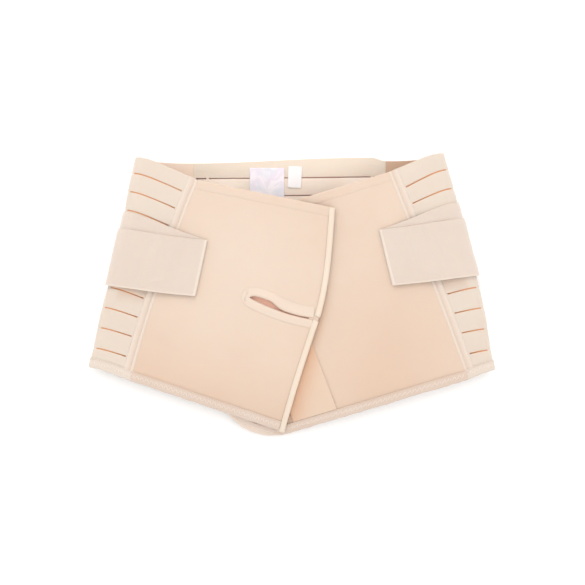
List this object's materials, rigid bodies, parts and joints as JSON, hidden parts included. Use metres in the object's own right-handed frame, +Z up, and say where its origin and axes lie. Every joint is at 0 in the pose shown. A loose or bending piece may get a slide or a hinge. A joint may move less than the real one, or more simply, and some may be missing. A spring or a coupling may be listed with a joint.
{
  "type": "abdominal binder",
  "caption": "Postpartum abdominal binder, wrapped shut and lying on its back: foam-backed lapping front, slotted elastic sides and back, wide side straps, bound hem.",
  "frame": {"origin": "middle of the bounding box, on the surface the binder lies on", "axes": "+X to the right across the wrap as it is seen from above, +Y towards the binder's top edge, +Z up from the surface through the front"},
  "size_m": [0.4326, 0.3004, 0.0353],
  "materials": {
    "panel": "warm beige brushed knit over thin foam",
    "elastic": "light cream ribbed elastic",
    "strap": "greyer beige woven elastic with a soft sheen",
    "hem": "pinkish beige binding with zigzag stitches",
    "binding": "pale cream bound edge",
    "patch": "peach loop pile",
    "hook": "fine beige hook tape",
    "label": "pale lilac satin, left blank",
    "size_tab": "white satin, left blank"
  },
  "bodies": {
    "root": {"left_front_panel": "panel", "right_front_panel": "panel", "closure_loop_patch": "patch", "closure_hook_tape": "hook", "left_side_elastic": "elastic", "right_side_elastic": "elastic", "back_elastic": "elastic", "left_stay_casing": "elastic", "right_stay_casing": "elastic", "left_seam_piping": "elastic", "right_seam_piping": "elastic", "left_front_hem": "hem", "right_front_hem": "hem", "left_side_hem": "hem", "right_side_hem": "hem", "back_hem": "hem", "lap_binding_upper": "binding", "lap_binding_lower": "binding", "slit_binding": "binding", "left_strap": "strap", "right_strap": "strap", "large_label": "label", "small_label": "size_tab"}
  },
  "joints": []
}
